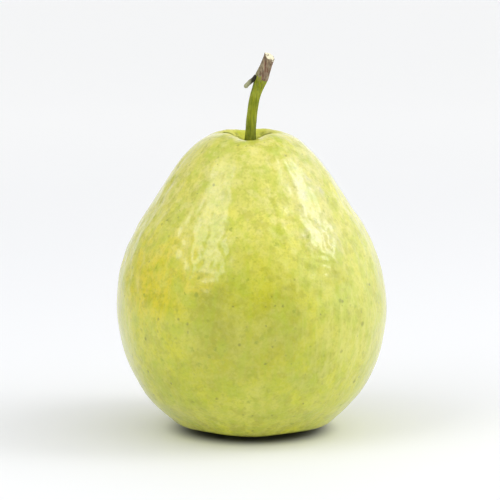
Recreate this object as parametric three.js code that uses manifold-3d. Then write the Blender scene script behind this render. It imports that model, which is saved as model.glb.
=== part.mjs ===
// A pearl guava as picked, standing on its blossom end, with a short length of its stalk.
// Millimetres, +Z up. The origin is at the middle of the base, on the surface that the fruit rests on.
//
// The fruit is pear-shaped: a round lower body, straight conical shoulders and a small flat top.
// Furrows run out of the stalk's hollow at the top, and soft ribs run out of the basin underneath.
// In that basin sits the dry calyx. The stalk leans over to +X and ends in a cut piece of brown twig,
// with the stub of a side shoot below the cut.

import * as THREE from 'three';
import { mergeVertices } from 'three/addons/utils/BufferGeometryUtils.js';
import Module from 'manifold-3d';

// ---------------------------------------------------------------- driving dimensions

const FRUIT_WIDTH = 94;
const FRUIT_HEIGHT = 104.4;
const FRUIT_SIDES = 60;
const OUTLINE_STEPS = 40;

// The shoulder around the basin would reach this far below the surface if it weren't pressed flat.
const REST_PRESS = 0.9;
const BASIN_DEPTH = 7;
const HOLLOW_DEPTH = 6.8;

// The axis leans a little to -X on its way up.
const LEAN_AT_BASE = 0.5;
const LEAN_AT_TOP = -0.8;

// Soft ribs round the base. One of them faces -Y, and the skin between two ribs stands higher.
const RIB_COUNT = 5;
const RIB_DEPTH = 0.9;
const RIB_REACH = 17;
const RIB_TURN = Math.PI / 2;
const RIB_LIFT = 0.7;
const RIB_LIFT_RADIUS = 21;
const RIB_LIFT_REACH = 7;

// Each furrow at the top: its direction in degrees, how deep it is and how wide.
const FURROWS = [
  { at: -92, depth: 2.6, halfWidth: 30 },
  { at: 2, depth: 0.9, halfWidth: 24 },
  { at: 100, depth: 0.6, halfWidth: 22 },
  { at: 176, depth: 1.1, halfWidth: 22 },
];
const FURROW_RADIUS = 7.5;
const FURROW_REACH = 6.5;

const STALK_SIDES = 14;
const STALK_RADIUS = 1.7;
const STALK_CLEAR = 0.8;
const STALK_CUT_TILT = 0.5;

const STUB_RADIUS = 0.75;
const STUB_LENGTH = 3.9;
const STUB_SIDES = 10;

const CALYX_LOBES = 5;
const CALYX_SIDES = 40;
const CALYX_RADIUS = 8.1;
const CALYX_CLEAR = 0.9;

const SKIN_COLOUR = 0xc8c861;
const STALK_COLOUR = 0x8b9b2c;
const STUB_COLOUR = 0x6d6a4a;
const CALYX_COLOUR = 0x6b4f2e;

// ---------------------------------------------------------------- helpers

const wasm = await Module();
wasm.setup();

function smooth(low, high, value) {
  return THREE.MathUtils.smoothstep(value, low, high);
}

function bell(offset, width) {
  return Math.exp(-((offset / width) ** 2));
}

function turnBetween(a, b) {
  const turn = a - b;
  return Math.atan2(Math.sin(turn), Math.cos(turn));
}

// A lathe turned about +Z, from an outline of [radius, height] points.
function turned(outline, sides) {
  const points = outline.map(([r, z]) => new THREE.Vector2(r, z));
  const geometry = new THREE.LatheGeometry(points, sides);
  geometry.rotateX(Math.PI / 2);
  return geometry;
}

function closed(geometry) {
  geometry.deleteAttribute('normal');
  geometry.deleteAttribute('uv');
  return mergeVertices(geometry, 1e-4);
}

// Moves every vertex of a closed geometry by a rule.
function shifted(geometry, rule) {
  const place = geometry.getAttribute('position');
  const point = new THREE.Vector3();
  for (let i = 0; i < place.count; i += 1) {
    point.fromBufferAttribute(place, i);
    rule(point);
    place.setXYZ(i, point.x, point.y, point.z);
  }
  return geometry;
}

function toSolid(geometry) {
  return new wasm.Manifold(new wasm.Mesh({
    numProp: 3,
    vertProperties: new Float32Array(geometry.getAttribute('position').array),
    triVerts: new Uint32Array(geometry.getIndex().array),
  }));
}

function fromSolid(solid) {
  const mesh = solid.getMesh();
  const geometry = new THREE.BufferGeometry();
  geometry.setAttribute('position', new THREE.BufferAttribute(mesh.vertProperties, 3));
  geometry.setIndex(new THREE.BufferAttribute(mesh.triVerts, 1));
  return geometry;
}

function named(name, geometry, colour, roughness) {
  geometry.computeVertexNormals();
  const material = new THREE.MeshStandardMaterial({ color: colour, roughness, metalness: 0 });
  const mesh = new THREE.Mesh(geometry, material);
  mesh.name = name;
  return mesh;
}

// ---------------------------------------------------------------- the fruit

// The outline from the middle of the basin, round the side and into the stalk's hollow.
function fruitOutline() {
  const half = FRUIT_WIDTH / 2;
  const top = FRUIT_HEIGHT;
  return [
    [0, BASIN_DEPTH],
    [5.8, BASIN_DEPTH - 0.5],
    [8.8, 4],
    [10.3, 1],
    [12.6, -REST_PRESS],
    [15.4, 0.3],
    [20, 1.15],
    [25, 2.2],
    [28.8, 4.6],
    [38, 14],
    [44, 25.5],
    [half - 0.2, 37.5],
    [half, 47],
    [44.8, 58.8],
    [40.3, 70],
    [33.4, 81],
    [25.8, 92.3],
    [19.7, 99.3],
    [15.1, top - 1.5],
    [10.8, top],
    [8, top - 0.5],
    [5.3, top - 2.6],
    [3.4, top - HOLLOW_DEPTH + 0.8],
    [0, top - HOLLOW_DEPTH],
  ];
}

function leanAt(z) {
  return THREE.MathUtils.lerp(LEAN_AT_BASE, LEAN_AT_TOP, z / FRUIT_HEIGHT);
}

// Ribs round the blossom end, furrows round the stalk, and the lean of the axis.
function growFruit(point) {
  const radius = Math.hypot(point.x, point.y);
  const angle = Math.atan2(point.y, point.x);
  const lowerBody = radius > 12 ? 1 - smooth(3, RIB_REACH, point.z) : 0;
  const outward = smooth(17, 24, radius);
  const rib = Math.cos(RIB_COUNT * angle + RIB_TURN);
  const swell = 1 + (RIB_DEPTH * rib * lowerBody * outward) / FRUIT_WIDTH * 2;
  point.x *= swell;
  point.y *= swell;
  if (point.z < RIB_REACH && radius > RIB_LIFT_RADIUS - RIB_LIFT_REACH) {
    const off = Math.min(Math.abs(radius - RIB_LIFT_RADIUS) / RIB_LIFT_REACH, 1);
    const under = Math.cos((Math.PI / 2) * off);
    point.z += (RIB_LIFT * (1 - rib) * under) / 2;
  }
  if (point.z > FRUIT_HEIGHT - 20) {
    for (const furrow of FURROWS) {
      const turn = turnBetween(angle, THREE.MathUtils.degToRad(furrow.at));
      const across = bell(turn, THREE.MathUtils.degToRad(furrow.halfWidth));
      point.z -= furrow.depth * across * bell(radius - FURROW_RADIUS, FURROW_REACH);
    }
  }
  point.x += leanAt(point.z);
}

function makeFruit() {
  const curve = new THREE.SplineCurve(fruitOutline().map(([r, z]) => new THREE.Vector2(r, z)));
  const outline = curve.getSpacedPoints(OUTLINE_STEPS).map((p) => [Math.max(p.x, 0), p.y]);
  outline[0][0] = 0;
  outline[OUTLINE_STEPS][0] = 0;
  const body = shifted(closed(turned(outline, FRUIT_SIDES)), growFruit);
  const surface = new THREE.BoxGeometry(200, 200, 10);
  surface.translate(0, 0, -5);
  return fromSolid(toSolid(body).subtract(toSolid(closed(surface))));
}

// ---------------------------------------------------------------- the stalk

// The stalk's middle line, from the hollow up to the cut.
function stalkLine() {
  return new THREE.CatmullRomCurve3([
    new THREE.Vector3(-0.6, 0, FRUIT_HEIGHT - HOLLOW_DEPTH + STALK_CLEAR),
    new THREE.Vector3(-0.4, 0, 104.5),
    new THREE.Vector3(0.15, 0.1, 110.8),
    new THREE.Vector3(1.15, 0.2, 116.4),
    new THREE.Vector3(2.7, 0.2, 121),
    new THREE.Vector3(4.3, 0, 125.4),
    new THREE.Vector3(6.1, -0.3, 130.2),
  ]);
}

// The stalk's radius along its length, from 0 at the fruit to 1 at the cut.
function stalkRadius(share) {
  const flare = 0.5 * bell(share, 0.12);
  const node = 0.4 * bell(share - 0.77, 0.1);
  const twig = 0.22 * smooth(0.8, 1, share);
  return STALK_RADIUS + flare + node + twig;
}

function makeStalk() {
  const line = stalkLine();
  const steps = 22;
  const outline = [[0, 0]];
  for (let i = 0; i <= steps; i += 1) {
    outline.push([stalkRadius(i / steps), i / steps]);
  }
  outline.push([0, 1]);
  const frames = line.computeFrenetFrames(steps, false);
  return shifted(closed(turned(outline, STALK_SIDES)), (point) => {
    const share = THREE.MathUtils.clamp(point.z, 0, 1);
    const step = Math.round(share * steps);
    const { x, y } = point;
    point.copy(line.getPointAt(share));
    point.addScaledVector(frames.normals[step], x);
    point.addScaledVector(frames.binormals[step], y);
    if (step === steps) {
      // The shears went through at a slant, lower towards -Y.
      point.z += (point.y - line.getPointAt(1).y) * STALK_CUT_TILT;
    }
  });
}

// ---------------------------------------------------------------- the stub of a side shoot

function makeStub() {
  const outline = [
    [0, 0],
    [STUB_RADIUS * 1.1, 0],
    [STUB_RADIUS, STUB_LENGTH * 0.35],
    [STUB_RADIUS * 0.95, STUB_LENGTH * 0.8],
    [STUB_RADIUS * 0.7, STUB_LENGTH * 0.96],
    [0, STUB_LENGTH],
  ];
  const geometry = turned(outline, STUB_SIDES);
  const away = new THREE.Vector3(-0.76, -0.16, -0.63).normalize();
  const up = new THREE.Vector3(0, 0, 1);
  geometry.applyQuaternion(new THREE.Quaternion().setFromUnitVectors(up, away));
  geometry.translate(0.6, -0.25, 122.4);
  return closed(geometry);
}

// ---------------------------------------------------------------- the calyx

// A dry cup that opens downwards, cut into lobes, with what is left of the style in its middle.
function makeCalyx() {
  const rimTop = 5;
  const outline = [
    [0, 3.4],
    [0.7, 3.5],
    [1, 4.7],
    [4.7, 4.7],
    [6, 3.6],
    [CALYX_RADIUS - 0.7, CALYX_CLEAR + 0.5],
    [CALYX_RADIUS, CALYX_CLEAR],
    [CALYX_RADIUS - 0.1, CALYX_CLEAR + 1.2],
    [6.9, 4],
    [6.1, 5.2],
    [5.3, 5.9],
    [0, 5.9],
  ];
  const geometry = closed(turned(outline, CALYX_SIDES));
  return shifted(geometry, (point) => {
    const radius = Math.hypot(point.x, point.y);
    const angle = Math.atan2(point.y, point.x);
    if (radius > 5.8 && point.z < rimTop) {
      const lobe = 0.3 + 0.7 * Math.abs(Math.cos((CALYX_LOBES * angle) / 2)) ** 0.6;
      const drawn = THREE.MathUtils.lerp(6.2, radius, lobe) / radius;
      point.x *= drawn;
      point.y *= drawn;
      point.z = THREE.MathUtils.lerp(rimTop, point.z, lobe);
    }
    point.x += LEAN_AT_BASE;
  });
}

// ---------------------------------------------------------------- the guava

const guava = new THREE.Group();
guava.add(named('fruit', makeFruit(), SKIN_COLOUR, 0.35));
guava.add(named('stalk', makeStalk(), STALK_COLOUR, 0.6));
guava.add(named('side_stub', makeStub(), STUB_COLOUR, 0.85));
guava.add(named('calyx', makeCalyx(), CALYX_COLOUR, 0.9));

// The frame's origin is under the middle of the fruit's width and depth.
const extent = new THREE.Box3().setFromObject(guava);
const middle = extent.getCenter(new THREE.Vector3());
guava.position.set(-middle.x, -middle.y, -extent.min.z);

export default guava;
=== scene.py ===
import math
import random

import bpy
from mathutils import Matrix, Vector, noise


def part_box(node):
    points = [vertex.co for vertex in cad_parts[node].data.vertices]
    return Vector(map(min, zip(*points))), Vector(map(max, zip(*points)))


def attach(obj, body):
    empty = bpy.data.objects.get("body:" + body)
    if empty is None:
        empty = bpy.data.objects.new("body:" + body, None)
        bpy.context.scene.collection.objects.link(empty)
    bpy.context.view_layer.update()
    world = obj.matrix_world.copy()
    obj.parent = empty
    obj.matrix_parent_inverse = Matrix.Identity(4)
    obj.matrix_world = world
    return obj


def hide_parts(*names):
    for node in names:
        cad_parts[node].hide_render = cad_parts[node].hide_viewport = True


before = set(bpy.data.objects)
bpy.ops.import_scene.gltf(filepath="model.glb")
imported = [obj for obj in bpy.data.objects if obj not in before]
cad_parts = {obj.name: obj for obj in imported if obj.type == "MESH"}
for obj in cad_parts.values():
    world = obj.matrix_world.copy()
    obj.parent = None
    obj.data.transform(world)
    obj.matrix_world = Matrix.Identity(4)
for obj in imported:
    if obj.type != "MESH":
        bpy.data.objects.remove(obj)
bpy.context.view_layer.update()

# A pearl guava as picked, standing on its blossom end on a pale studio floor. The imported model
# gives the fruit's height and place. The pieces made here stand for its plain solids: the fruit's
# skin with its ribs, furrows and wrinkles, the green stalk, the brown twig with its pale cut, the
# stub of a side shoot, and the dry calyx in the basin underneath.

fruit_low, fruit_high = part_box("fruit")

MM = 0.001
ROOT = "root"

# -------------------------------------------------------- sizes of the fruit, in millimetres

FRUIT_HEIGHT = fruit_high.z / MM
FRUIT_HALF_WIDTH = 47.0
# How far the skin under the fruit is pressed flat, and the depths of its two ends.
REST_PRESS = 0.9
BASIN_DEPTH = 7.0
HOLLOW_DEPTH = 6.8
# How far to +X the body's middle is at its base and at its top.
LEAN_AT_BASE = 0.5
LEAN_AT_TOP = -0.8
# Soft ribs round the base, up to RIB_REACH. Between two ribs, the skin next to the pressed ring
# stands RIB_LIFT higher.
RIB_COUNT = 5
RIB_DEPTH = 0.9
RIB_REACH = 17.0
RIB_TURN = math.pi / 2
RIB_LIFT = 0.7
RIB_LIFT_RADIUS = 21.0
RIB_LIFT_REACH = 7.0
# How far from the stalk the furrows are deepest, and how far they spread from there.
FURROW_RADIUS = 7.5
FURROW_REACH = 6.5
# Direction in degrees, depth and half width in degrees of each furrow round the stalk.
FURROWS = ((-92, 2.9, 30), (2, 0.9, 24), (100, 0.6, 22), (176, 1.1, 22))
# Direction in degrees, depth, width and outer radius of each sharp crease between the lobes there.
CREASES = ((-161, 2.3, 0.75, 10.5), (-25, 2.0, 0.7, 8.5), (52, 1.1, 0.9, 9), (131, 1.0, 0.9, 9.5))
# The lobes in front of the stalk reach in over its hollow: direction and half width in degrees.
FRONT_LOBES = ((-133, 26), (-52, 24))
LOBE_LIFT = 2.5
LOBE_RADIUS = 4.5
LOBE_REACH = 1.3

# The skin's relief: how high each kind of wrinkle stands, from the widest to the finest.
BROAD_SWELL, BUMP_SWELL = 0.36, 0.24
RIDGE_SWELL, FOLD_SWELL, CORD_SWELL = 0.34, 0.26, 0.09
DENT_DEPTH, WAVE_DEPTH, PEEL_DEPTH = 0.20, 0.13, 0.04
CRINKLE_DEPTH, CRUMPLE_WAVE, UPRIGHT_DEPTH = 0.36, 0.20, 0.22
# Where the wrinkles that run lengthwise are strongest, and how far they spread up and down.
SHOULDER_HEIGHT, SHOULDER_SPREAD = 76, 24
# Patches of skin: direction in degrees, half width in radians, height and half height. Two are
# crumpled, the second one less, and one has upright ridges.
CRUMPLED_RIGHT, CRUMPLED_LEFT = (-57, 0.38, 63, 14), (-114, 0.42, 66, 14)
CRUMPLED_LEFT_SHARE = 0.8
RIDGED_RIGHT = (-46, 0.34, 34, 20)

# The skin's mesh: points round it, and rings from the basin to the hollow, closer at the hollow.
FRUIT_SIDES = 384
FRUIT_STEPS = 256
HOLLOW_CROWD = 2.6

# -------------------------------------------------------- small sums


def ease(low, high, value):
    share = min(max((value - low) / (high - low), 0.0), 1.0)
    return share * share * (3 - 2 * share)


def between(low, high, share):
    return low + (high - low) * share


def bell(offset, width):
    return math.exp(-((offset / width) ** 2))


def turn_between(a, b):
    return math.atan2(math.sin(a - b), math.cos(a - b))


def spline(points, share):
    """A point on the smooth curve through all the points, at a share of its length in points."""
    run = min(max(share, 0.0), 1.0) * (len(points) - 1)
    i = min(int(run), len(points) - 2)
    t = run - i
    before, here = points[max(i - 1, 0)], points[i]
    there, after = points[i + 1], points[min(i + 2, len(points) - 1)]
    start, end = (there - before) * 0.5, (after - here) * 0.5
    cubic = (here - there) * 2 + start + end
    square = (there - here) * 3 - start * 2 - end
    return cubic * t ** 3 + square * t ** 2 + start * t + here


CURVE_STEPS = 2000


def spaced(points, count, crowd=None):
    """count + 1 points at even steps along the smooth curve. Where crowd(point) is above 1, they
    stand closer together."""
    fine = [spline(points, i / CURVE_STEPS) for i in range(CURVE_STEPS + 1)]
    run = [0.0]
    for a, b in zip(fine, fine[1:]):
        run.append(run[-1] + (b - a).length * (crowd(a) if crowd else 1))
    even, i = [], 0
    for step in range(count + 1):
        goal = run[-1] * step / count
        while i < len(run) - 2 and run[i + 1] < goal:
            i += 1
        share = (goal - run[i]) / max(run[i + 1] - run[i], 1e-9)
        even.append(fine[i].lerp(fine[i + 1], min(share, 1.0)))
    return even


# -------------------------------------------------------- mesh helpers


def new_piece(name, points, faces, material, replaces=()):
    """A smooth-shaded mesh in metres, from points in metres, that rides with the fruit."""
    mesh = bpy.data.meshes.new(name)
    mesh.from_pydata([tuple(p) for p in points], [], faces)
    mesh.validate()
    for face in mesh.polygons:
        face.use_smooth = True
    piece = bpy.data.objects.new(name, mesh)
    bpy.context.scene.collection.objects.link(piece)
    mesh.materials.append(material)
    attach(piece, ROOT)
    if replaces:
        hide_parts(*replaces)
    return piece


def ring_faces(rings, sides, first=0):
    """Quads between closed rings of points that follow one another."""
    faces = []
    for i in range(rings - 1):
        for j in range(sides):
            a = first + i * sides + j
            b = first + i * sides + (j + 1) % sides
            faces.append((a, b, b + sides, a + sides))
    return faces


def turned(rows, sides, place_point):
    """A closed body: rows of radius and height turned round, from its lower pole to its upper one.
    place_point(x, y, z) puts each point where it belongs."""
    points = [place_point(0.0, 0.0, rows[0].y)]
    for row in rows[1:-1]:
        for j in range(sides):
            angle = 2 * math.pi * j / sides
            points.append(place_point(row.x * math.cos(angle), row.x * math.sin(angle), row.y))
    points.append(place_point(0.0, 0.0, rows[-1].y))
    rings, last = len(rows) - 2, len(points) - 1
    top_ring = 1 + (rings - 1) * sides
    faces = ring_faces(rings, sides, 1)
    for j in range(sides):
        k = (j + 1) % sides
        faces.append((1 + k, 1 + j, 0))
        faces.append((top_ring + j, top_ring + k, last))
    return points, faces


def rod(line, steps, sides, radius, end_shift=None):
    """A closed rod round a middle line. radius(share, angle) is in millimetres, and
    end_shift(point, share, angle) may move any of its points."""
    points, centres = [], spaced(line, steps)
    across = Vector((0, 1, 0))
    for i, centre in enumerate(centres):
        ahead = (centres[min(i + 1, steps)] - centres[max(i - 1, 0)]).normalized()
        side = (across - ahead * across.dot(ahead)).normalized()
        out = side.cross(ahead)
        share = i / steps
        for j in range(sides):
            angle = 2 * math.pi * j / sides
            reach = radius(share, angle)
            point = centre + (out * math.cos(angle) + side * math.sin(angle)) * reach
            points.append(end_shift(point, share, angle) if end_shift else point)
    faces = ring_faces(steps + 1, sides)
    for first, order in ((0, -1), (steps * sides, 1)):
        ring = [first + j for j in range(sides)]
        middle = sum((points[k] for k in ring), Vector()) / sides
        points.append(middle)
        hub = len(points) - 1
        for j in range(sides):
            a, b = ring[j], ring[(j + 1) % sides]
            faces.append((a, b, hub)[::order])
    return points, faces


# -------------------------------------------------------- node helpers


def feed(tree, node, feeds):
    for name, value in feeds.items():
        if isinstance(value, bpy.types.NodeSocket):
            tree.links.new(value, node.inputs[name])
        else:
            node.inputs[name].default_value = value


def add(tree, kind, feeds=None, **settings):
    node = tree.nodes.new(kind)
    for name, value in settings.items():
        setattr(node, name, value)
    feed(tree, node, feeds or {})
    return node


def sums(tree, operation, first, second=0.0):
    return add(tree, "ShaderNodeMath", {0: first, 1: second}, operation=operation).outputs[0]


def smooth_range(tree, value, low, high, start=0.0, end=1.0):
    feeds = {"Value": value, "From Min": low, "From Max": high, "To Min": start, "To Max": end}
    return add(tree, "ShaderNodeMapRange", feeds, interpolation_type="SMOOTHSTEP").outputs[0]


def mix(tree, share, first, second):
    node = add(tree, "ShaderNodeMix", data_type="RGBA")
    feed(tree, node, {0: share, 6: first, 7: second})
    return node.outputs[2]


def tinted(tree, colour, mask, strength, tint):
    """A colour with a tint laid over it where the mask is, at a strength."""
    return mix(tree, sums(tree, "MULTIPLY", mask, strength), colour, tint)


def use(tree, group, **feeds):
    """Places a node group and returns its first output."""
    node = tree.nodes.new("ShaderNodeGroup")
    node.node_tree = group
    feed(tree, node, {name.replace("_", " ").capitalize(): value for name, value in feeds.items()})
    return node.outputs[0]


def new_group(name, takes, gives):
    """An empty group. takes holds each input's name and default, gives the output's name."""
    tree = bpy.data.node_groups.new(name, "ShaderNodeTree")
    for label, default in takes.items():
        kind = "NodeSocketVector" if isinstance(default, tuple) else "NodeSocketFloat"
        tree.interface.new_socket(label, in_out="INPUT", socket_type=kind).default_value = default
    tree.interface.new_socket(gives, in_out="OUTPUT", socket_type="NodeSocketFloat")
    return tree, tree.nodes.new("NodeGroupInput").outputs, tree.nodes.new("NodeGroupOutput")


def new_material(name, **constants):
    """A material with its shader, its tree and its place on the object in millimetres."""
    material = bpy.data.materials.new(name)
    material.use_nodes = True
    tree = material.node_tree
    shader = tree.nodes["Principled BSDF"]
    for label, value in constants.items():
        shader.inputs[label.replace("_", " ").title()].default_value = value
    coordinates = tree.nodes.new("ShaderNodeTexCoord").outputs["Object"]
    place = add(tree, "ShaderNodeVectorMath", {0: coordinates}, operation="SCALE")
    place.inputs["Scale"].default_value = 1 / MM
    return material, tree, shader, place.outputs[0]


def bump(tree, height, depth, strength=1.0, under=None):
    """A bump of a depth in millimetres, on top of another if one is given."""
    feeds = {"Height": height, "Distance": depth * MM, "Strength": strength}
    if under is not None:
        feeds["Normal"] = under
    return add(tree, "ShaderNodeBump", feeds).outputs[0]


# -------------------------------------------------------- effects shared by the materials


def cut_out(tree, given, cloud):
    """A mask of where a cloud is above a group's Cut, as soft as its Spread."""
    low = sums(tree, "SUBTRACT", given["Cut"], given["Spread"])
    high = sums(tree, "ADD", given["Cut"], given["Spread"])
    return smooth_range(tree, cloud, low, high)


def pulled_place(tree, given, scale, detail, pull):
    """A group's Place, pulled about by noise as far as its Ragged times pull."""
    feeds = {"Vector": given["Place"], "Scale": scale, "Detail": detail}
    cloud = add(tree, "ShaderNodeTexNoise", feeds).outputs[1]
    middle = (0.5, 0.5, 0.5)
    off = add(tree, "ShaderNodeVectorMath", {0: cloud, 1: middle}, operation="SUBTRACT")
    pulled = add(tree, "ShaderNodeVectorMath", {0: off.outputs[0]}, operation="SCALE")
    feed(tree, pulled, {"Scale": sums(tree, "MULTIPLY", given["Ragged"], pull)})
    return add(tree, "ShaderNodeVectorMath", {0: given["Place"], 1: pulled.outputs[0]}).outputs[0]


def round_mask(tree, place, given, core):
    """1 round a group's Centre, fading to 0 at its Radius. Core is the share that is full."""
    feeds = {0: place, 1: given["Centre"]}
    apart = add(tree, "ShaderNodeVectorMath", feeds, operation="DISTANCE").outputs["Value"]
    inner = sums(tree, "MULTIPLY", given["Radius"], core)
    return smooth_range(tree, apart, inner, given["Radius"], 1.0, 0.0)


def make_mottle():
    """Cloudy patches, 0 to 1, of a size in millimetres. Spread is how soft their edges are."""
    takes = {"Place": (0, 0, 0), "Size": 8.0, "Cut": 0.5, "Spread": 0.15, "Detail": 3.0}
    tree, given, out = new_group("mottle", takes, "Mask")
    scale = sums(tree, "DIVIDE", 1.0, given["Size"])
    feeds = {"Vector": given["Place"], "Scale": scale, "Detail": given["Detail"]}
    cloud = add(tree, "ShaderNodeTexNoise", feeds).outputs[0]
    feed(tree, out, {"Mask": cut_out(tree, given, cloud)})
    return tree


def make_blotch():
    """One soft-edged blotch round a centre, with a ragged outline."""
    takes = {"Place": (0, 0, 0), "Centre": (0, 0, 0), "Radius": 10.0, "Ragged": 6.0}
    tree, given, out = new_group("blotch", takes, "Mask")
    moved = pulled_place(tree, given, 0.13, 4.0, 2.0)
    feed(tree, out, {"Mask": round_mask(tree, moved, given, 0.3)})
    return tree


def make_spot():
    """One small round spot with a soft edge."""
    takes = {"Place": (0, 0, 0), "Centre": (0, 0, 0), "Radius": 1.0}
    tree, given, out = new_group("spot", takes, "Mask")
    feed(tree, out, {"Mask": round_mask(tree, given["Place"], given, 0.25)})
    return tree


def make_specks():
    """Small dots. Spacing is the size of the cells that may hold one, Share how many of them do,
    and Ragged how far noise pulls their outline out of round, all in millimetres but Share."""
    takes = {"Place": (0, 0, 0), "Spacing": 4.0, "Size": 0.4, "Share": 0.5, "Ragged": 0.0}
    tree, given, out = new_group("specks", takes, "Mask")
    moved = pulled_place(tree, given, 1.1, 2.0, 3.0)
    scale = sums(tree, "DIVIDE", 1.0, given["Spacing"])
    cells = add(tree, "ShaderNodeTexVoronoi", {"Vector": moved, "Scale": scale})
    apart = sums(tree, "MULTIPLY", cells.outputs["Distance"], given["Spacing"])
    pick = add(tree, "ShaderNodeSeparateColor", {0: cells.outputs["Color"]}).outputs
    kept = sums(tree, "LESS_THAN", pick[0], given["Share"])
    reach = sums(tree, "MULTIPLY", given["Size"], sums(tree, "ADD", pick[1], 0.4))
    inner = sums(tree, "MULTIPLY", reach, 0.3)
    dot = smooth_range(tree, apart, inner, reach, 1.0, 0.0)
    strong = smooth_range(tree, pick[2], 0.0, 1.0, 0.35, 1.0)
    faded = sums(tree, "MULTIPLY", dot, strong)
    feed(tree, out, {"Mask": sums(tree, "MULTIPLY", faded, kept)})
    return tree


def make_streaks():
    """Lines that run up and down. Across and Along are their width and length in millimetres."""
    takes = {"Place": (0, 0, 0), "Across": 1.0, "Along": 10.0, "Cut": 0.5, "Spread": 0.2}
    tree, given, out = new_group("streaks", takes, "Mask")
    part = add(tree, "ShaderNodeSeparateXYZ", {0: given["Place"]}).outputs
    x, y = (sums(tree, "DIVIDE", part[k], given["Across"]) for k in (0, 1))
    z = sums(tree, "DIVIDE", part[2], given["Along"])
    drawn = add(tree, "ShaderNodeCombineXYZ", {0: x, 1: y, 2: z}).outputs[0]
    feeds = {"Vector": drawn, "Scale": 1.0, "Detail": 3.0, "Roughness": 0.6}
    cloud = add(tree, "ShaderNodeTexNoise", feeds).outputs[0]
    feed(tree, out, {"Mask": cut_out(tree, given, cloud)})
    return tree


mottle = make_mottle()
blotch = make_blotch()
spot = make_spot()
specks = make_specks()
streaks = make_streaks()

# -------------------------------------------------------- materials

BODY_GREEN = (0.575, 0.565, 0.002, 1)
SHOULDER_CREAM = (0.73, 0.685, 0.10, 1)
LOWER_GREEN = (0.61, 0.62, 0.011, 1)
FOOT_PAINTED_LIGHT = (0.76, 0.77, 0.02, 1)
OLIVE = (0.37, 0.365, 0.000, 1)
DEEP_GREEN = (0.27, 0.32, 0.002, 1)
PALE = (0.66, 0.65, 0.13, 1)
CREAM = (0.77, 0.71, 0.24, 1)
PAINTED_HIGHLIGHT_CREAM = (0.54, 0.53, 0.36, 1)
WARM = (0.74, 0.60, 0.02, 1)
FRESH_GREEN = (0.42, 0.50, 0.004, 1)
GREY_GREEN = (0.39, 0.43, 0.05, 1)
HOLLOW_SHADE_AND_SHEEN = (0.56, 0.58, 0.11, 1)
SPECK_BROWN = (0.16, 0.17, 0.01, 1)
# Painted shade, laid in the pit round the stalk, in its creases and behind its front lobes.
PAINTED_PIT_SHADE = (0.10, 0.105, 0.006, 1)

STALK_DARK, STALK_LIGHT = (0.14, 0.175, 0.000, 1), (0.30, 0.33, 0.001, 1)
STALK_PALE, STALK_FOOT_SHADE = (0.34, 0.38, 0.04, 1), (0.070, 0.085, 0.001, 1)
STALK_SPECK, STALK_BROWN = (0.07, 0.085, 0.004, 1), (0.26, 0.22, 0.07, 1)
BARK_DARK, BARK_LIGHT = (0.12, 0.06, 0.035, 1), (0.38, 0.29, 0.17, 1)
BARK_RED, BARK_GREY = (0.26, 0.10, 0.06, 1), (0.36, 0.33, 0.22, 1)
BARK_MOSS, BARK_CRACK = (0.27, 0.29, 0.12, 1), (0.05, 0.03, 0.02, 1)
WOOD_PALE, WOOD_PORE = (0.86, 0.80, 0.58, 1), (0.62, 0.50, 0.28, 1)
WOOD_STAIN = (0.55, 0.48, 0.28, 1)
STUB_BLACK, STUB_BROWN = (0.008, 0.007, 0.004, 1), (0.05, 0.04, 0.015, 1)
STUB_GREY, STUB_LIGHT = (0.26, 0.26, 0.13, 1), (0.46, 0.46, 0.28, 1)
CALYX_DARK, CALYX_BROWN = (0.075, 0.04, 0.018, 1), (0.26, 0.17, 0.08, 1)
CALYX_PALE = (0.36, 0.33, 0.16, 1)

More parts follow.
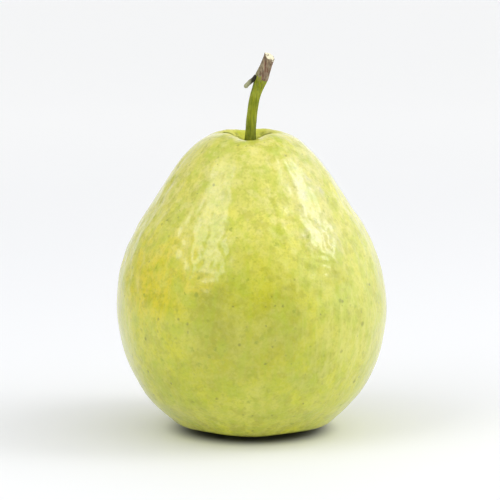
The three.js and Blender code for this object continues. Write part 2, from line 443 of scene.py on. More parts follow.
# Blotches on the skin: the centre's angle and height, then radius, colour and strength. Angles
# are in degrees, -90 faces -Y, and the last six are on the side away from it.
BLOTCHES = (
    (-139, 58, 18, WARM, 0.75),
    (-126, 66, 12, WARM, 0.35),
    (-112, 57, 7, WARM, 0.55),
    (-109, 52, 4, DEEP_GREEN, 0.5),
    (-97, 47, 5, DEEP_GREEN, 0.3),
    (-60, 58, 4, DEEP_GREEN, 0.35),
    (-51, 62, 5, DEEP_GREEN, 0.35),
    (-107, 49, 9, OLIVE, 0.85),
    (-104, 42, 9, OLIVE, 0.8),
    (-78, 50, 7, OLIVE, 0.5),
    (-76, 43, 8, OLIVE, 0.75),
    (-90, 43, 18, OLIVE, 0.4),
    (-100, 31, 13, OLIVE, 0.45),
    (-108, 68, 8, FRESH_GREEN, 0.3),
    (-117, 99, 5, FRESH_GREEN, 0.6),
    (-54, 100, 4.5, FRESH_GREEN, 0.7),
    (-102, 88, 7, FRESH_GREEN, 0.5),
    (-96, 81, 6, FRESH_GREEN, 0.5),
    (-47, 50, 8, FRESH_GREEN, 0.8),
    (-82, 82, 5, FRESH_GREEN, 0.5),
    (-66, 92, 5, FRESH_GREEN, 0.5),
    (-128, 86, 7, FRESH_GREEN, 0.6),
    (-136, 74, 8, FRESH_GREEN, 0.5),
    (-62, 32, 8, GREY_GREEN, 0.5),
    (-64, 23, 7, GREY_GREEN, 0.5),
    (-128, 24, 9, GREY_GREEN, 0.25),
    (-90, 10, 16, PALE, 0.45),
    (-125, 8, 12, PALE, 0.3),
    (-60, 8, 10, PALE, 0.3),
    (-42, 38, 16, PALE, 0.5),
    (-55, 44, 12, PALE, 0.3),
    (-28, 55, 14, PALE, 0.3),
    (-88, 90, 13, PALE, 0.35),
    (-95, 75, 10, PALE, 0.3),
    (-98, 60, 8, PALE, 0.35),
    # Painted highlight: these cream blotches lie where the right softbox's highlight falls on the
    # skin.
    (-52, 70, 11, PAINTED_HIGHLIGHT_CREAM, 0.75),
    (-53, 83, 10, PAINTED_HIGHLIGHT_CREAM, 0.85),
    (-34, 94, 9, PAINTED_HIGHLIGHT_CREAM, 0.6),
    (-116, 83, 8, OLIVE, 0.25),
    (-58, 95, 6, OLIVE, 0.3),
    (-60, 58, 9, PALE, 0.35),
    (-88, 95, 9, CREAM, 0.45),
    (60, 60, 16, WARM, 0.5),
    (110, 42, 14, OLIVE, 0.6),
    (20, 50, 12, FRESH_GREEN, 0.4),
    (150, 70, 15, PALE, 0.5),
    (80, 30, 14, OLIVE, 0.5),
    (170, 40, 13, GREY_GREEN, 0.4),
)
BLOTCH_SPREAD = 1.2
# Behind the lobes that fold in over the hollow, the skin is in deep shade: x and y of each spot.
LIP_SHADE = (
    (-8.4, 2.7), (-7.8, 2.8), (-7.3, 3.0), (-6.7, 3.1), (-6.2, 3.1), (-5.6, -5.7),
    (-5.0, -5.2), (-4.5, -4.8), (-3.9, -4.7), (-3.4, -4.8), (-2.8, -4.6), (2.7, -4.9),
    (3.2, -5.0), (3.8, -4.9), (4.3, -4.2), (4.9, 3.7), (5.5, 3.3), (6.0, 3.1),
    (6.6, 3.1), (7.1, 3.1),
)
LIP_SHADE_RADIUS = 1.4
# How far from the stalk the creases between the lobes are shaded.
CREASE_SHADE = (3.6, 4.8, 6.0, 7.2)
# Single dark specks on the skin: angle, height and radius.
SPOTS = (
    (-129, 57, 1.0), (-127, 54, 0.8), (-123, 49, 0.9), (-141, 49, 0.8), (-121, 45.5, 0.8),
    (-140, 37, 0.9), (-113, 31, 0.9), (-105, 26, 1.1), (-76, 34, 0.8), (-70, 16, 0.9),
    (-38, 42, 1.3), (-79, 87, 0.9), (-53, 16, 0.9), (-54, 65, 1.1), (-50, 65, 1.2),
    (-88, 70, 0.7), (-95, 38, 0.8), (-64, 52, 0.7), (30, 55, 1.1), (70, 40, 0.9),
    (120, 62, 1.0), (160, 30, 0.9), (10, 30, 0.8),
)


def on_skin(angle_deg, height):
    """A point on the skin at an angle in degrees and a height in millimetres."""
    side = [p for p in FRUIT_OUTLINE[OUTLINE_REST_POINT:] if p.x > 5]
    above = next((p for p in side if p.y > height), side[-1])
    angle = math.radians(angle_deg)
    return (above.x * math.cos(angle), above.x * math.sin(angle), height)


def crown_height(radius):
    """The height of the plain turned body near the stalk, at a radius."""
    crown = [p for p in FRUIT_OUTLINE if p.y > FRUIT_HEIGHT - 8 and p.x < 16]
    for outer, inner in zip(crown, crown[1:]):
        if inner.x <= radius <= outer.x:
            return between(inner.y, outer.y, (radius - inner.x) / (outer.x - inner.x))
    return crown[-1].y


def on_crown(x, y):
    """The point of the skin near the stalk that the plain turned body has at x and y."""
    return grown(x, y, crown_height(math.hypot(x, y)))


def make_skin():
    material, tree, skin, place = new_material(
        "guava_skin",
        subsurface_weight=0.2,
        subsurface_scale=3.0 * MM,
        coat_roughness=0.19,
    )
    skin.inputs["Subsurface Radius"].default_value = (1.0, 0.85, 0.25)
    skin.inputs["IOR"].default_value = 1.42
    skin.inputs["Specular IOR Level"].default_value = 0.3
    skin.inputs["Coat IOR"].default_value = 1.6
    height = add(tree, "ShaderNodeSeparateXYZ", {0: place}).outputs[2]

    shoulder = smooth_range(tree, height, 50.0, 88.0)
    colour = mix(tree, shoulder, BODY_GREEN, SHOULDER_CREAM)
    lower = smooth_range(tree, height, 12.0, 40.0, 1.0, 0.0)
    colour = mix(tree, lower, colour, LOWER_GREEN)
    # Painted light: near its foot the skin is lighter, standing in for light thrown up from the
    # floor.
    foot = smooth_range(tree, height, 3.0, 14.0, 0.8, 0.0)
    colour = mix(tree, foot, colour, FOOT_PAINTED_LIGHT)

    wide = use(tree, mottle, place=place, size=15.0, cut=0.5, spread=0.14, detail=5.0)
    colour = tinted(tree, colour, wide, 0.34, OLIVE)
    broken = use(tree, mottle, place=place, size=2.4, cut=0.48, spread=0.2, detail=4.0)
    part = smooth_range(tree, broken, 0.0, 1.0, 0.6, 1.0)
    for angle, up, radius, tint, strength in BLOTCHES:
        here = on_skin(angle, up)
        reach = radius * BLOTCH_SPREAD
        area = use(tree, blotch, place=place, centre=here, radius=reach, ragged=8.0)
        colour = tinted(tree, colour, sums(tree, "MULTIPLY", area, part), strength, tint)

    clouds = use(tree, mottle, place=place, size=7.5, cut=0.54, spread=0.13, detail=6.0)
    colour = tinted(tree, colour, clouds, 0.30, PALE)
    green = use(tree, mottle, place=place, size=6.5, cut=0.57, spread=0.09, detail=6.0)
    colour = tinted(tree, colour, green, 0.5, FRESH_GREEN)
    dim = use(tree, mottle, place=place, size=3.6, cut=0.56, spread=0.09, detail=5.0)
    colour = tinted(tree, colour, dim, 0.42, OLIVE)
    cream = use(tree, mottle, place=place, size=4.2, cut=0.55, spread=0.09, detail=5.0)
    colour = tinted(tree, colour, sums(tree, "MULTIPLY", cream, shoulder), 0.5, CREAM)
    grain = use(tree, mottle, place=place, size=1.5, cut=0.54, spread=0.10, detail=3.0)
    colour = tinted(tree, colour, grain, 0.16, PALE)
    pores = use(tree, mottle, place=place, size=0.9, cut=0.56, spread=0.10, detail=3.0)
    colour = tinted(tree, colour, pores, 0.18, DEEP_GREEN)

    lines = use(tree, streaks, place=place, across=2.2, along=17.0, cut=0.54, spread=0.12)
    right = use(tree, blotch, place=place, centre=on_skin(-48, 36), radius=30.0, ragged=9.0)
    colour = tinted(tree, colour, sums(tree, "MULTIPLY", lines, right), 0.5, PALE)

    fibres = use(tree, streaks, place=place, across=3.4, along=13.0, cut=0.56, spread=0.08)
    colour = tinted(tree, colour, fibres, 0.34, FRESH_GREEN)

    flecks = use(tree, specks, place=place, spacing=2.6, size=0.85, share=0.6, ragged=0.7)
    clusters = use(tree, mottle, place=place, size=11.0, cut=0.5, spread=0.1)
    some = smooth_range(tree, clusters, 0.0, 1.0, 0.2, 1.0)
    colour = tinted(tree, colour, sums(tree, "MULTIPLY", flecks, some), 0.65, DEEP_GREEN)
    dots = use(tree, specks, place=place, spacing=3.2, size=0.6, share=0.6, ragged=0.3)
    colour = tinted(tree, colour, dots, 0.62, SPECK_BROWN)
    scars = use(tree, specks, place=place, spacing=11.0, size=0.9, share=0.7, ragged=0.5)
    for angle, up, radius in SPOTS:
        scar = use(tree, spot, place=place, centre=on_skin(angle, up), radius=radius)
        scars = sums(tree, "MAXIMUM", scars, scar)
    colour = tinted(tree, colour, scars, 0.6, SPECK_BROWN)

    # Painted shade: the pit that the stalk stands in, the creases that run out of it and the skin
    # behind the front lobes are darkened.
    def near_stalk(depth, radius):
        centre = (STALK_LINE[0].x, 0, FRUIT_HEIGHT - depth)
        return use(tree, spot, place=place, centre=centre, radius=radius)

    painted_shade = near_stalk(7.5, 6.5)
    for direction, depth, *_ in CREASES:
        turn = math.radians(direction)
        for away in CREASE_SHADE:
            centre = on_crown(away * math.cos(turn), away * math.sin(turn))
            shade = use(tree, spot, place=place, centre=centre, radius=1.0 + 0.35 * depth)
            shade = sums(tree, "MULTIPLY", shade, min(depth / 2.2, 1.0))
            painted_shade = sums(tree, "MAXIMUM", painted_shade, shade)
    for x, y in LIP_SHADE:
        shade = use(tree, spot, place=place, centre=on_crown(x, y), radius=LIP_SHADE_RADIUS)
        painted_shade = sums(tree, "MAXIMUM", painted_shade, shade)
    colour = tinted(tree, colour, painted_shade, 0.9, PAINTED_PIT_SHADE)
    crown = near_stalk(1, 15.0)
    # Painted shade and sheen: the hollow round the stalk is tinted a darker, greyer green, which
    # dims its lit lip and stands in for the gloss that the crown lacks.
    colour = tinted(tree, colour, near_stalk(3, 13.0), 0.5, HOLLOW_SHADE_AND_SHEEN)

    # The crown is duller than the rest: it has no gloss over its skin.
    rough = smooth_range(tree, wide, 0.0, 1.0, 0.38, 0.46)
    rough = sums(tree, "ADD", rough, sums(tree, "MULTIPLY", scars, 0.3))
    rough = sums(tree, "ADD", rough, sums(tree, "MULTIPLY", crown, 0.4))
    coat = smooth_range(tree, sums(tree, "MAXIMUM", painted_shade, crown), 0.0, 0.8, 1.0, 0.0)
    normal = bump(tree, broken, 0.11)
    normal = bump(tree, grain, 0.04, under=normal)
    normal = bump(tree, sums(tree, "MAXIMUM", dots, scars), -0.06, under=normal)
    feed(tree, skin, {"Base Color": colour, "Roughness": rough, "Coat Weight": coat})
    feed(tree, skin, {"Normal": normal})
    return material


def make_stalk_green():
    material, tree, shader, place = new_material("stalk_green", subsurface_weight=0.1)
    shader.inputs["Subsurface Scale"].default_value = 0.8 * MM
    shader.inputs["Specular IOR Level"].default_value = 0.3
    ridges = use(tree, streaks, place=place, across=0.5, along=9.0, cut=0.5, spread=0.16)
    colour = mix(tree, ridges, STALK_DARK, STALK_LIGHT)
    pale = use(tree, mottle, place=place, size=2.6, cut=0.58, spread=0.12)
    colour = tinted(tree, colour, pale, 0.45, STALK_PALE)
    height = add(tree, "ShaderNodeSeparateXYZ", {0: place}).outputs[2]
    # Painted shade: low down, where it stands in the hollow, the stalk is darkened in patches.
    foot = smooth_range(tree, height, 100.0, 110.0, 1.0, 0.0)
    patchy = use(tree, mottle, place=place, size=1.8, cut=0.46, spread=0.14)
    shade = sums(tree, "MULTIPLY", foot, smooth_range(tree, patchy, 0.0, 1.0, 0.45, 1.0))
    colour = tinted(tree, colour, shade, 0.7, STALK_FOOT_SHADE)
    dots = use(tree, specks, place=place, spacing=1.3, size=0.26, share=0.5)
    colour = tinted(tree, colour, dots, 0.7, STALK_SPECK)
    near_twig = smooth_range(tree, height, 117.0, 123.0)
    brown = use(tree, mottle, place=place, size=1.5, cut=0.6, spread=0.1)
    worn = sums(tree, "MULTIPLY", near_twig, brown)
    colour = tinted(tree, colour, worn, 0.7, STALK_BROWN)
    rough = smooth_range(tree, ridges, 0.0, 1.0, 0.62, 0.45)
    normal = bump(tree, ridges, 0.12)
    normal = bump(tree, dots, 0.08, under=normal)
    feed(tree, shader, {"Base Color": colour, "Roughness": rough, "Normal": normal})
    return material


def make_bark():
    material, tree, shader, place = new_material("twig_bark")
    lines = use(tree, streaks, place=place, across=0.36, along=5.5, cut=0.5, spread=0.12)
    colour = mix(tree, lines, BARK_DARK, BARK_LIGHT)
    red = use(tree, streaks, place=place, across=0.7, along=7.0, cut=0.56, spread=0.08)
    colour = tinted(tree, colour, red, 0.65, BARK_RED)
    grey = use(tree, mottle, place=place, size=2.0, cut=0.55, spread=0.12)
    colour = tinted(tree, colour, grey, 0.45, BARK_GREY)
    # Moss on the side of the twig that faces -X, most of it low down.
    part = add(tree, "ShaderNodeSeparateXYZ", {0: place}).outputs
    along_twig = sums(tree, "MULTIPLY", part[2], TWIG_LEAN)
    off_middle = sums(tree, "SUBTRACT", part[0], along_twig)
    moss = smooth_range(tree, off_middle, *MOSS_SIDE, 1.0, 0.0)
    low_down = smooth_range(tree, part[2], 123.0, 128.5, 1.0, 0.15)
    colour = tinted(tree, colour, sums(tree, "MULTIPLY", moss, low_down), 0.75, BARK_MOSS)
    cracks = use(tree, streaks, place=place, across=0.22, along=3.0, cut=0.36, spread=0.06)
    colour = mix(tree, sums(tree, "SUBTRACT", 1.0, cracks), colour, BARK_CRACK)
    normal = bump(tree, lines, 0.16)
    normal = bump(tree, cracks, 0.12, under=normal)
    rough = smooth_range(tree, lines, 0.0, 1.0, 0.92, 0.72)
    feed(tree, shader, {"Base Color": colour, "Roughness": rough, "Normal": normal})
    return material


def make_wood():
    material, tree, shader, place = new_material("cut_wood")
    fibres = use(tree, specks, place=place, spacing=0.36, size=0.14, share=0.8)
    colour = mix(tree, fibres, WOOD_PALE, WOOD_PORE)
    stain = use(tree, mottle, place=place, size=1.3, cut=0.6, spread=0.1)
    colour = tinted(tree, colour, stain, 0.4, WOOD_STAIN)
    normal = bump(tree, fibres, -0.1)
    rough = smooth_range(tree, stain, 0.0, 1.0, 0.8, 0.9)
    feed(tree, shader, {"Base Color": colour, "Roughness": rough, "Normal": normal})
    return material


def make_stub_skin():
    material, tree, shader, place = new_material("dry_stub")
    x = add(tree, "ShaderNodeSeparateXYZ", {0: place}).outputs[0]
    tip = smooth_range(tree, x, STUB_FOOT.x - 1.4, STUB_TIP.x + 1.2)
    lines = use(tree, streaks, place=place, across=0.3, along=1.2, cut=0.5, spread=0.2)
    dark = mix(tree, lines, STUB_BLACK, STUB_BROWN)
    grey = mix(tree, lines, STUB_GREY, STUB_LIGHT)
    colour = mix(tree, tip, dark, grey)
    normal = bump(tree, lines, 0.1)
    rough = smooth_range(tree, lines, 0.0, 1.0, 0.9, 0.78)
    feed(tree, shader, {"Base Color": colour, "Roughness": rough, "Normal": normal})
    return material


def make_dry_calyx():
    material, tree, shader, place = new_material("dry_calyx")
    veins = use(tree, mottle, place=place, size=0.7, cut=0.5, spread=0.18, detail=4.0)
    colour = mix(tree, veins, CALYX_DARK, CALYX_BROWN)
    pale = use(tree, mottle, place=place, size=3.0, cut=0.6, spread=0.1)
    colour = tinted(tree, colour, pale, 0.5, CALYX_PALE)
    normal = bump(tree, veins, 0.12)
    rough = smooth_range(tree, pale, 0.0, 1.0, 0.9, 0.8)
    feed(tree, shader, {"Base Color": colour, "Roughness": rough, "Normal": normal})
    return material


# -------------------------------------------------------- the fruit


def outline_points():
    """Radius and height from the middle of the basin, round the side and into the hollow."""
    half, top = FRUIT_HALF_WIDTH, FRUIT_HEIGHT
    return [Vector(p) for p in (
        (0, BASIN_DEPTH), (5.8, BASIN_DEPTH - 0.5), (8.8, 4), (10.3, 1), (12.6, -REST_PRESS),
        (15.4, 0.3), (20, 1.15), (25, 2.2), (28.8, 4.6), (38, 14), (44, 25.5),
        (half - 0.2, 37.5), (half, 47), (44.8, 58.8), (40.3, 70), (33.4, 81), (25.8, 92.3),
        (19.7, 99.3), (15.1, top - 1.5), (10.8, top), (8, top - 0.5), (5.3, top - 2.6),
        (3.4, top - HOLLOW_DEPTH + 0.8), (0, top - HOLLOW_DEPTH),
    )]


FRUIT_OUTLINE = outline_points()
OUTLINE_REST_POINT = 4


def grown(x, y, z):
    """A point of the plain turned body, moved by the ribs, the furrows and the lean."""
    radius, angle = math.hypot(x, y), math.atan2(y, x)
    low = 1 - ease(3, RIB_REACH, z) if radius > 12 else 0
    rib = math.cos(RIB_COUNT * angle + RIB_TURN)
    swell = 1 + RIB_DEPTH * rib * low * ease(17, 24, radius) / FRUIT_HALF_WIDTH
    drop = 0.0
    if z < RIB_REACH:
        off = min(abs(radius - RIB_LIFT_RADIUS) / RIB_LIFT_REACH, 1)
        z += RIB_LIFT * (1 - rib) / 2 * math.cos(off * math.pi / 2)
    if z > FRUIT_HEIGHT - 20:
        for direction, depth, half_width in FURROWS:
            turn = turn_between(angle, math.radians(direction))
            across = bell(turn, math.radians(half_width))
            drop += depth * across * bell(radius - FURROW_RADIUS, FURROW_REACH)
        for direction, depth, width, reach in CREASES:
            across = abs(radius * turn_between(angle, math.radians(direction)))
            span = ease(1.8, 3.4, radius) * (1 - ease(reach - 5, reach, radius))
            drop += depth * span * (math.exp(-across / width) - 0.22 * bell(across - 2.2, 1.3))
        for direction, half_width in FRONT_LOBES:
            turn = turn_between(angle, math.radians(direction))
            lobe = bell(turn, math.radians(half_width)) * bell(radius - LOBE_RADIUS, LOBE_REACH)
            drop -= LOBE_LIFT * lobe
    z -= drop
    lean = between(LEAN_AT_BASE, LEAN_AT_TOP, z / FRUIT_HEIGHT)
    return Vector((x * swell + lean, y * swell, z))


def in_patch(angle, z, direction, half_width, height, half_height):
    """How far inside a patch of skin a place is, from 1 at its middle to 0 far outside."""
    across = bell(turn_between(angle, math.radians(direction)), half_width)
    return across * bell(z - height, half_height)


def relief(point):
    """How far the skin stands out of its smooth shape at a point, in millimetres."""
    x, y, z = point
    angle = math.atan2(y, x)
    cos, sin = math.cos(angle), math.sin(angle)
    shoulders = bell(z - SHOULDER_HEIGHT, SHOULDER_SPREAD)
    calm = ease(0, 9, math.hypot(x, y))
    broad = BROAD_SWELL * noise.noise(point / 25)
    bumps = BUMP_SWELL * noise.noise(point / 10 + Vector((3, 1, 7)))
    # Shallow ridges that run from the stalk down the shoulders, and finer ones between them.
    ridges = noise.noise(Vector((cos * 4.6, sin * 4.6, z / 48 + 2)))
    folds = noise.noise(Vector((cos * 9.5, sin * 9.5, z / 12 + 9)))
    cords = noise.noise(Vector((cos * 17, sin * 17, z / 6.5 + 4)))
    lengthwise = RIDGE_SWELL * ridges + FOLD_SWELL * folds + CORD_SWELL * cords
    lengthwise *= shoulders
    dents = noise.noise(Vector((x / 5.4, y / 5.4, z / 7.5)) + Vector((6, 3, 1)))
    wavy = noise.noise(Vector((x / 3.1, y / 3.1, z / 4.2)))
    peel = noise.noise(point / 1.9 + Vector((9, 2, 4)))
    crumpled = in_patch(angle, z, *CRUMPLED_RIGHT)
    crumpled += CRUMPLED_LEFT_SHARE * in_patch(angle, z, *CRUMPLED_LEFT)
    pushed = point / 3.2 + Vector((1, 5, 2)) + 0.5 * Vector((wavy, wavy, 0))
    crinkle = 1 - 2.2 * abs(noise.noise(pushed))
    fine = (DENT_DEPTH * dents + WAVE_DEPTH * wavy) * (0.2 + shoulders)
    fine += PEEL_DEPTH * peel * (0.4 + shoulders)
    fine += crumpled * (CRINKLE_DEPTH * crinkle + CRUMPLE_WAVE * wavy)
    upright = noise.noise(Vector((cos * 15, sin * 15, z / 40)))
    fine += UPRIGHT_DEPTH * in_patch(angle, z, *RIDGED_RIGHT) * upright
    return broad + calm * (bumps + lengthwise + fine)


def make_fruit(skin):
    def crowd(point):
        return HOLLOW_CROWD if point.y > 97 and point.x < 12 else 1

    rows = spaced(FRUIT_OUTLINE, FRUIT_STEPS, crowd)
    points, faces = turned(rows, FRUIT_SIDES, grown)
    fruit = new_piece("fruit_skin", points, faces, skin, ["fruit"])
    mesh = fruit.data
    outwards = [n.vector.copy() for n in mesh.vertex_normals]
    for vertex, out in zip(mesh.vertices, outwards):
        point = vertex.co.copy()
        vertex.co = point + out * relief(point)
        vertex.co.z = max(vertex.co.z, 0.0)
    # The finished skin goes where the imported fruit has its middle.
    xs = [v.co.x for v in mesh.vertices]
    ys = [v.co.y for v in mesh.vertices]
    middle = Vector(((min(xs) + max(xs)) / 2, (min(ys) + max(ys)) / 2, 0))
    wanted = (fruit_low + fruit_high) / 2 / MM
    shift = Vector((wanted.x - middle.x, wanted.y - middle.y, 0))
    for vertex in mesh.vertices:
        vertex.co = (vertex.co + shift) * MM
    mesh.update()
    return fruit


# -------------------------------------------------------- stalk, twig and stub

STALK_LINE = [Vector(p) for p in (
    (-0.6, 0, 98.4), (-0.4, 0, 104.5), (0.15, 0.1, 110.8), (1.15, 0.2, 116.4),
    (2.7, 0.2, 121), (4.3, 0, 125.4), (6.1, -0.3, 130.2),
)]
STALK_RADIUS = 1.7
LINE_STEPS = 100
# Shares of the line at which the green stalk ends, inside the bark, and the brown twig starts.
STALK_TO = 0.78
TWIG_FROM = 0.73
# How far the twig leans to +X for each millimetre up, and how far off its line its moss fades.
TWIG_LEAN = 0.41
MOSS_SIDE = (-49.6, -47.6)
# The way that the torn fibres of the cut point.
CUT_WAY = Vector((0.12, 0, 1))
STUB_FOOT = Vector((1.7, -0.1, 123.2))
STUB_TIP = Vector((-2.5, -0.9, 119.6))
STUB_RADIUS = 0.76


def cut_rise(point):
    """How much higher than the twig's end its slanted, torn cut is at a point."""
    end = STALK_LINE[-1]
    slant = (point.y - end.y) * 0.4 - (point.x - end.x) * 0.1
    spike = 0.55 * bell(point.x - end.x + 1.6, 0.5) * bell(point.y - end.y + 0.4, 0.9)
    return slant + spike + 0.4 * noise.noise(point * 1.4)


def stalk_radius(share):
    flare = 0.5 * bell(share, 0.12)
    node = 0.5 * bell(share - 0.77, 0.1)
    return STALK_RADIUS + flare + node + 0.12 * ease(0.8, 1, share)


def make_stalk(material):
    def radius(share, angle):
        share = share * STALK_TO
        corners = 0.05 * math.cos(4 * angle + 1.2 * share) + 0.035 * math.cos(9 * angle + 4 * share)
        spot = Vector((math.cos(angle) * 2.2, math.sin(angle) * 2.2, share * 9))
        return stalk_radius(share) * (1 + corners) + 0.07 * noise.noise(spot)

    line = spaced(STALK_LINE, LINE_STEPS)[:round(LINE_STEPS * STALK_TO) + 1]
    points, faces = rod(line, 150, 56, radius)
    return new_piece("stalk", [p * MM for p in points], faces, material, ["stalk"])


def make_twig(material):
    def radius(share, angle):
        along = TWIG_FROM + share * (1 - TWIG_FROM)
        ragged = 0.05 * noise.noise(Vector((math.cos(angle) * 3, math.sin(angle) * 3, 5)))
        ragged -= 0.10 * ease(0.0, 1.0, -math.cos(angle))
        bark = ease(0.0, 0.06, share - 0.03 + ragged) * 0.34 - 0.16
        spot = Vector((math.cos(angle) * 3.4, math.sin(angle) * 3.4, along * 9))
        ridge = 0.09 * noise.noise(spot * 1.6) + 0.05 * math.cos(11 * angle + 5 * along)
        return stalk_radius(along) * 0.98 + bark * (1 - 0.6 * ease(0.86, 1, share)) + ridge

    def slanted(point, share, angle):
        if share > 0.9:
            fray = 0.3 * noise.noise(Vector((math.cos(angle) * 3, math.sin(angle) * 3, 1)))
            rise = cut_rise(point) + fray
            point = point + CUT_WAY * rise * ease(0.9, 1, share)
        return point

    line = spaced(STALK_LINE, LINE_STEPS)[round(LINE_STEPS * TWIG_FROM):]
    points, faces = rod(line, 90, 64, radius, slanted)
    return new_piece("twig_bark", [p * MM for p in points], faces, material)


def make_cut(material):
    """The pale wood inside the bark, torn into short fibres along the slanted cut."""
    end = STALK_LINE[-1]
    ahead = (end - STALK_LINE[-2]).normalized()
    side = Vector((0, 1, 0))
    out = side.cross(ahead).normalized()
    rings, sides, core = 14, 48, stalk_radius(1) * 0.98
    points = []
    for i in range(rings):
        share = i / (rings - 1)
        for j in range(sides):
            angle = 2 * math.pi * j / sides
            reach = core * (1 - 0.96 * share)
            point = end + (out * math.cos(angle) + side * math.sin(angle)) * reach
            torn = 0.3 * noise.noise(point * 2.6) + 0.14 * noise.noise(point * 6)
            top = cut_rise(point) + (0.2 + torn if i else -0.5)
            points.append(point + CUT_WAY * top)
    faces = ring_faces(rings, sides)
    middle = sum((points[-j - 1] for j in range(sides)), Vector()) / sides
    points.append(middle)
    for j in range(sides):
        first = (rings - 1) * sides
        faces.append((first + j, first + (j + 1) % sides, len(points) - 1))
    return new_piece("cut_wood", [p * MM for p in points], faces, material)


def make_stub(material):
    def radius(share, angle):
        spot = Vector((math.cos(angle) * 2, math.sin(angle) * 2, share * 5))
        collar = 0.28 * bell(share, 0.16)
        tip = 1 - 0.5 * ease(0.9, 1, share)
        return (STUB_RADIUS + collar + 0.09 * noise.noise(spot)) * tip

    middle = (STUB_FOOT + STUB_TIP) / 2 + Vector((-0.1, 0, 0.15))
    points, faces = rod([STUB_FOOT, middle, STUB_TIP], 40, 32, radius)
    points = [p * MM for p in points]
    return new_piece("side_stub", points, faces, material, ["side_stub"])


# -------------------------------------------------------- the calyx

LOBE_COUNT = 5
LOBE_THICKNESS = 0.35
STAMEN_COUNT = 46
STAMEN_RADIUS = 0.11


def make_calyx_cup(material):
    outline = [Vector(p) for p in (
        (0.0, 3.6), (0.7, 3.7), (0.9, 4.7), (2.6, 4.5), (4.6, 4.7), (5.6, 4.1), (6.2, 4.4),
        (6.1, 5.2), (5.3, 5.9), (0.0, 6.1),
    )]

    def crumpled(x, y, z):
        point = Vector((x, y, z))
        if x or y:
            point *= 1 + 0.02 * noise.noise(point / 0.8)
            point.z += 0.12 * noise.noise(point / 1.4)
        return point + Vector((LEAN_AT_BASE, 0, 0))

    points, faces = turned(spaced(outline, 60), 96, crumpled)
    faces = [face[::-1] for face in faces]
    return new_piece("calyx_cup", [p * MM for p in points], faces, material, ["calyx"])


def make_sepal(number, material):
    """One dry lobe: a thin curled blade that hangs outwards from the cup's rim."""
    rng = random.Random(number)
    turn = 2 * math.pi * number / LOBE_COUNT
    curl = rng.uniform(0.5, 1.1)
    long = rng.uniform(4.4, 5.2)
    rows, columns, points, faces = 18, 13, [], []
    for i in range(rows):
        along = i / (rows - 1)
        half = 3.1 * (1 - along ** 2.2) * (0.8 + 0.35 * math.sin(math.pi * along))
        for j in range(columns):
            across = 2 * j / (columns - 1) - 1
            crumple = 0.25 * noise.noise(Vector((along * 3, across * 2, number * 7)))
            reach = 5.9 + 2.1 * along ** 1.3 - 0.5 * across ** 2 + crumple
            drop = long * along * (0.92 - 0.16 * curl * along)
            spread = turn + across * half / 6.2
            z = max(5.2 - drop + 0.35 * curl * across ** 2, 0.5)
            x = LEAN_AT_BASE + reach * math.cos(spread)
            points.append(Vector((x, reach * math.sin(spread), z)))
    for i in range(rows - 1):
        for j in range(columns - 1):
            a = i * columns + j
            faces.append((a, a + 1, a + columns + 1, a + columns))
    sepal = new_piece(f"sepal_{number + 1}", [p * MM for p in points], faces, material)
    thickness = sepal.modifiers.new("thickness", "SOLIDIFY")
    thickness.thickness = LOBE_THICKNESS * MM
    thickness.offset = 0
    rounding = sepal.modifiers.new("rounding", "SUBSURF")
    rounding.levels = rounding.render_levels = 1
    return sepal


def make_stamens(material):
    """What is left of the stamens: short dry threads that stand in a ring inside the lobes."""
    rng = random.Random(11)
    points, faces = [], []
    for _ in range(STAMEN_COUNT):
        turn, reach = rng.uniform(0, 2 * math.pi), rng.uniform(2.6, 5.0)
        foot = Vector((LEAN_AT_BASE + reach * math.cos(turn), reach * math.sin(turn), 4.9))
        lean = Vector((rng.uniform(-0.7, 0.7), rng.uniform(-0.7, 0.7), -rng.uniform(0.9, 2.1)))
        bend = Vector((rng.uniform(-0.4, 0.4), rng.uniform(-0.4, 0.4), 0))
        more, more_faces = rod([foot, foot + lean * 0.5 + bend, foot + lean], 5, 6,
                               lambda share, angle: STAMEN_RADIUS * (1 - 0.5 * share))
        faces += [tuple(k + len(points) for k in face) for face in more_faces]
        points += more
    return new_piece("stamens", [p * MM for p in points], faces, material)


# -------------------------------------------------------- studio

# The floor's paint is a little greyer near the fruit, painted shade that evens out the brighter
# light there and darkens the ground round its foot, and it holds a painted contact shadow: dark in
# a ring where the fruit's edge is closest to it. All distances from the middle are in metres.
FLOOR_REACH = 9.0
FLOOR_FAR, FLOOR_NEAR = (0.99, 0.99, 0.99, 1), (0.84, 0.845, 0.86, 1)
FLOOR_UNDER_SHADE, FLOOR_CONTACT_SHADOW = (0.83, 0.835, 0.855, 1), (0.02, 0.02, 0.01, 1)


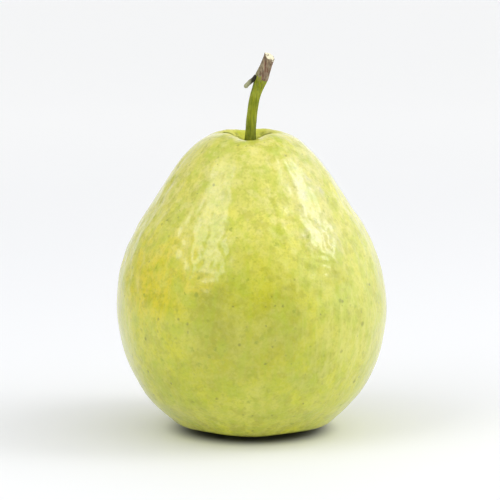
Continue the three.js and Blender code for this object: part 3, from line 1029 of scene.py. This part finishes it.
def make_floor():
    rings, sides = 40, 64
    points = [Vector((0, 0, 0))]
    for i in range(1, rings + 1):
        radius = FLOOR_REACH * (i / rings) ** 2.4
        for j in range(sides):
            angle = 2 * math.pi * j / sides
            points.append(Vector((radius * math.cos(angle), radius * math.sin(angle), 0)))
    faces = ring_faces(rings, sides, 1)
    faces += [(0, 1 + j, 1 + (j + 1) % sides) for j in range(sides)]
    mesh = bpy.data.meshes.new("floor")
    mesh.from_pydata([tuple(p) for p in points], [], faces)
    floor = bpy.data.objects.new("floor", mesh)
    bpy.context.scene.collection.objects.link(floor)
    material = bpy.data.materials.new("floor_paint")
    material.use_nodes = True
    tree = material.node_tree
    shader = tree.nodes["Principled BSDF"]
    place = tree.nodes.new("ShaderNodeTexCoord").outputs["Object"]
    away = add(tree, "ShaderNodeVectorMath", {0: place}, operation="LENGTH").outputs["Value"]
    # Painted shade: greyer near the fruit, where the lamps light the floor more.
    paint = mix(tree, smooth_range(tree, away, 0.05, 1.4), FLOOR_NEAR, FLOOR_FAR)
    # Painted shade on the ground round the fruit's foot.
    paint = mix(tree, smooth_range(tree, away, 0.035, 0.07, 1.0, 0.0), paint, FLOOR_UNDER_SHADE)
    # Painted contact shadow: a dark ring under the fruit's edge.
    paint = mix(tree, smooth_range(tree, away, 0.017, 0.032, 0.9, 0.0), paint, FLOOR_CONTACT_SHADOW)
    feed(tree, shader, {"Base Color": paint})
    shader.inputs["Roughness"].default_value = 0.7
    shader.inputs["Specular IOR Level"].default_value = 0.25
    mesh.materials.append(material)
    return floor


# How far the softboxes are from the point that they face, and that point, in metres.
LIGHT_DISTANCE = 0.8
LIGHTS_AIM = Vector((0, 0, 0.07))


def softbox(name, towards, along, width, length, power):
    """An oblong light that faces the fruit, with its long side along a direction."""
    data = bpy.data.lights.new(name, "AREA")
    data.shape = "RECTANGLE"
    data.size, data.size_y = width, length
    data.energy = power
    lamp = bpy.data.objects.new(name, data)
    bpy.context.scene.collection.objects.link(lamp)
    back = Vector(towards).normalized()
    up = Vector(along)
    up = (up - back * up.dot(back)).normalized()
    side = up.cross(back)
    lamp.location = LIGHTS_AIM + back * LIGHT_DISTANCE
    lamp.rotation_mode = "QUATERNION"
    lamp.rotation_quaternion = Matrix((side, up, back)).transposed().to_quaternion()
    return lamp


# The white room round the fruit: the way to each bright area, how narrow it is, its brightness.
ROOM_LIGHT = (
    ((1, 0, 0), 2, 1.46),
    ((0, 1, 0), 2, 1.1),
    ((0, -1, 0), 2, 0.42),
    ((-0.7, -0.7, 0), 6, 0.5),
    ((-0.6, -0.2, 0.75), 4, 1.14),
    ((0.6, -0.2, 0.75), 4, 1.0),
)
# The wall behind the floor, as bright as the floor's far end.
BACKDROP = 0.915
ROOM_TINT = (0.985, 0.992, 1.0, 1)


def make_room():
    world = bpy.data.worlds.new("room")
    world.use_nodes = True
    tree = world.node_tree
    way = tree.nodes.new("ShaderNodeTexCoord").outputs[0]
    total = 0.0
    for towards, narrow, brightness in ROOM_LIGHT:
        towards = Vector(towards).normalized()
        facing = add(tree, "ShaderNodeVectorMath", {0: way, 1: towards}, operation="DOT_PRODUCT")
        ahead = sums(tree, "MAXIMUM", facing.outputs["Value"], 0.0)
        area = sums(tree, "MULTIPLY", sums(tree, "POWER", ahead, float(narrow)), brightness)
        total = sums(tree, "ADD", area, total)
    lit = tree.nodes["Background"]
    feed(tree, lit, {"Color": ROOM_TINT, "Strength": total})
    seen = add(tree, "ShaderNodeBackground", {"Color": ROOM_TINT, "Strength": BACKDROP})
    ray = tree.nodes.new("ShaderNodeLightPath").outputs["Is Camera Ray"]
    both = add(tree, "ShaderNodeMixShader", {0: ray, 1: lit.outputs[0], 2: seen.outputs[0]})
    feed(tree, tree.nodes["World Output"], {"Surface": both.outputs[0]})
    bpy.context.scene.world = world


def make_studio():
    make_floor()
    softbox("left_softbox", (-0.55, -0.46, 0.68), (0.17, 0.7, 0.54), 0.34, 0.72, 1.72)
    softbox("right_softbox", (0.74, -0.03, 0.66), (-0.33, 0.21, 0.39), 0.24, 0.56, 1.42)
    make_room()
    bpy.context.scene.view_settings.view_transform = "Standard"


# The camera's angle above level, its distance from the fruit and the height that its view shows
# at that distance, in metres.
CAMERA_ABOVE = math.radians(8)
CAMERA_DISTANCE = 0.8
VIEW_HEIGHT = 0.174
SENSOR_WIDTH = 36
LOOK_AT = Vector((-0.0006, 0, 0.063))


def make_camera():
    data = bpy.data.cameras.new("camera")
    data.sensor_width = SENSOR_WIDTH
    data.lens = data.sensor_width * CAMERA_DISTANCE / VIEW_HEIGHT
    camera = bpy.data.objects.new("camera", data)
    bpy.context.scene.collection.objects.link(camera)
    back = Vector((0, -math.cos(CAMERA_ABOVE), math.sin(CAMERA_ABOVE)))
    camera.location = LOOK_AT + back * CAMERA_DISTANCE
    camera.rotation_mode = "QUATERNION"
    camera.rotation_quaternion = back.to_track_quat("Z", "Y")
    bpy.context.scene.camera = camera


# -------------------------------------------------------- the guava

make_camera()
make_studio()
make_fruit(make_skin())
make_stalk(make_stalk_green())
make_twig(make_bark())
make_cut(make_wood())
make_stub(make_stub_skin())
dry = make_dry_calyx()
make_calyx_cup(dry)
for lobe in range(LOBE_COUNT):
    make_sepal(lobe, dry)
make_stamens(dry)

bpy.context.view_layer.update()
